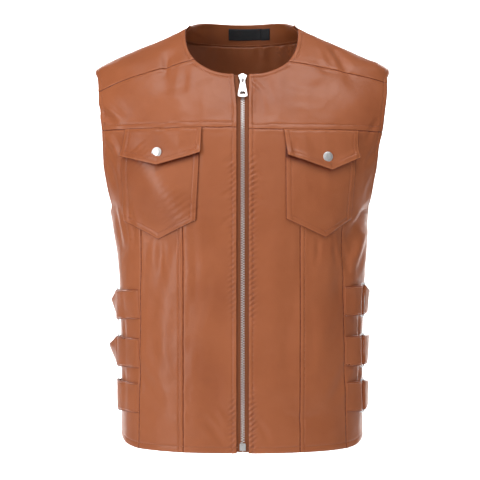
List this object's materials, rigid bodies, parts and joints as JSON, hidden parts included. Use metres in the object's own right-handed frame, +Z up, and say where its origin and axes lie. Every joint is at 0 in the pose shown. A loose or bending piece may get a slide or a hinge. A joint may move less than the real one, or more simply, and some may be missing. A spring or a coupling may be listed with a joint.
{
  "type": "leather vest",
  "caption": "Collarless sleeveless leather vest with a full-length zip, flapped chest pockets with snaps, and buckled straps down both sides, in its worn, filled-out form.",
  "frame": {"origin": "midway between the two points where the neck meets the shoulders", "axes": "+Z up, -Y towards the front, +X towards the wearer's left"},
  "size_m": [0.4696, 0.2546, 0.6775],
  "materials": {
    "leather": "smooth tan leather with a soft gloss",
    "inner_leather": "matt dark tan",
    "lining": "brown twill",
    "label": "black woven, bare",
    "zip_tape": "woven tape",
    "silver_metal": "polished silver"
  },
  "bodies": {
    "vest": {"back_lining": "lining", "back_neck_facing": "inner_leather", "back_panel": "leather", "flap_left": "leather", "flap_right": "leather", "front_center_left": "leather", "front_center_right": "leather", "front_middle_left": "leather", "front_middle_right": "leather", "front_side_left": "leather", "front_side_right": "leather", "front_yoke_left": "leather", "front_yoke_right": "leather", "neck_label": "label", "pocket_left": "leather", "pocket_right": "leather", "ring_left_lower": "silver_metal", "ring_left_middle": "silver_metal", "ring_left_upper": "silver_metal", "ring_right_lower": "silver_metal", "ring_right_middle": "silver_metal", "ring_right_upper": "silver_metal", "shoulder_left": "leather", "shoulder_right": "leather", "size_tab": "label", "snap_left": "silver_metal", "snap_right": "silver_metal", "strap_left_lower": "leather", "strap_left_middle": "leather", "strap_left_upper": "leather", "strap_right_lower": "leather", "strap_right_middle": "leather", "strap_right_upper": "leather", "tab_left_lower": "leather", "tab_left_middle": "leather", "tab_left_upper": "leather", "tab_right_lower": "leather", "tab_right_middle": "leather", "tab_right_upper": "leather", "zip_box": "silver_metal", "zip_slider": "silver_metal", "zip_tape_left": "zip_tape", "zip_tape_right": "zip_tape", "zip_teeth": "silver_metal"},
    "pull_tab": {"zip_pull": "silver_metal"}
  },
  "joints": [
    {"name": "pull_swing", "type": "hinge", "parent": "vest", "child": "pull_tab", "pos_m": [0, -0.07309, -0.08829], "axis": [-1, 0, 0], "range_deg": [0, 165]}
  ]
}
